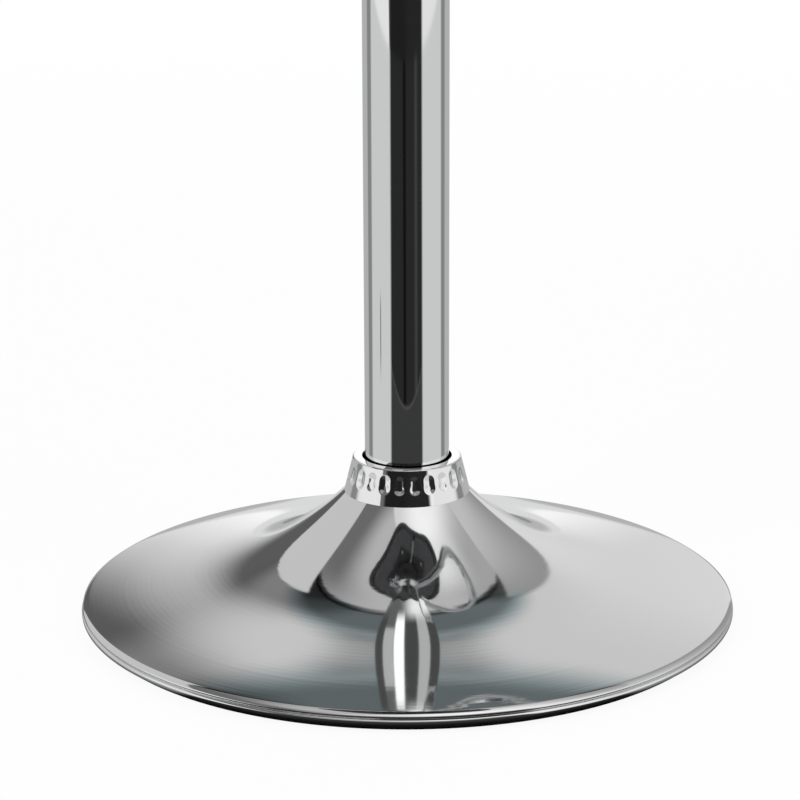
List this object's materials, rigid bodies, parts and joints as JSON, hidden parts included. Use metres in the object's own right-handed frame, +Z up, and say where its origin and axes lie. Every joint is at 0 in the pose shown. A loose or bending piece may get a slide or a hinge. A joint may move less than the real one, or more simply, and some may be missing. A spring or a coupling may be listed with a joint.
{
  "type": "kitchen stool",
  "caption": "Swivelling height-adjustable kitchen stool with a chromed trumpet base, gas-lift column, hoop footrest, side release lever and padded square seat.",
  "frame": {"origin": "on the floor at the column's axis, the middle of the base's floor ring", "axes": "+Z up along the column, +X towards the footrest, -Y towards the release lever"},
  "size_m": [0.3899, 0.39, 0.8213],
  "materials": {
    "chrome_base": "polished chrome plate",
    "chrome_tube": "polished chrome plate",
    "plated_trim": "plated pressing",
    "black_rubber": "matt",
    "black_steel": "satin black paint",
    "ballast_iron": "as cast",
    "zinc_steel": "bright zinc",
    "bare_aluminium": "turned",
    "black_plastic": "moulded",
    "seat_leather": "fine-grained leatherette",
    "seat_filling": "foam",
    "plywood": "raw plywood",
    "underside_cloth": "non-woven cloth"
  },
  "bodies": {
    "base": {"base_shell": "chrome_base", "floor_ring": "black_rubber", "bottom_plate": "black_steel", "ballast_ring": "ballast_iron", "hub_socket": "zinc_steel", "hub_screws": "zinc_steel", "ballast_screws": "zinc_steel", "column_tube": "chrome_tube", "column_end_plate": "zinc_steel", "trim_collar": "plated_trim", "guide_bush": "black_plastic", "thrust_race_lower": "zinc_steel", "thrust_balls": "zinc_steel", "footrest_clamp": "chrome_tube", "clamp_screws": "zinc_steel", "clamp_nuts": "zinc_steel", "footrest_hoop": "chrome_tube"},
    "spindle": {"thrust_race_upper": "zinc_steel", "bumper": "black_rubber", "piston_rod": "zinc_steel", "rod_clip": "zinc_steel", "piston": "bare_aluminium", "piston_nut": "zinc_steel"},
    "seat": {"gas_cylinder": "black_steel", "rod_guide": "bare_aluminium", "valve_block": "bare_aluminium", "taper_socket": "black_steel", "seat_plate": "black_steel", "lever_bracket": "black_steel", "lever_pivot": "zinc_steel", "seat_cover": "seat_leather", "seat_foam": "seat_filling", "seat_board": "plywood", "tee_nuts": "zinc_steel", "seat_bolts": "zinc_steel", "dust_cloth": "underside_cloth"},
    "lever": {"release_lever": "chrome_tube", "lever_knob": "black_plastic"},
    "valve_pin": {"release_pin": "zinc_steel"}
  },
  "joints": [
    {"name": "seat_swivel", "type": "hinge", "parent": "base", "child": "spindle", "pos_m": [0, 0, 0], "axis": [0, 0, 1], "continuous": true},
    {"name": "seat_lift", "type": "slide", "parent": "spindle", "child": "seat", "axis": [0, 0, 1], "range_m": [-0.225, 0]},
    {"name": "lever_pull", "type": "hinge", "parent": "seat", "child": "lever", "pos_m": [0, -0.026, 0.7363], "axis": [-1, 0, 0], "range_deg": [0, 7], "stiffness_Nm_per_rad": 2},
    {"name": "pin_press", "type": "slide", "parent": "seat", "child": "valve_pin", "axis": [0, 0, 1], "range_m": [-0.0033, 0]}
  ],
  "couplings": [
    {"joint": "pin_press", "follows": "lever_pull", "m_per_rad": -0.026}
  ]
}
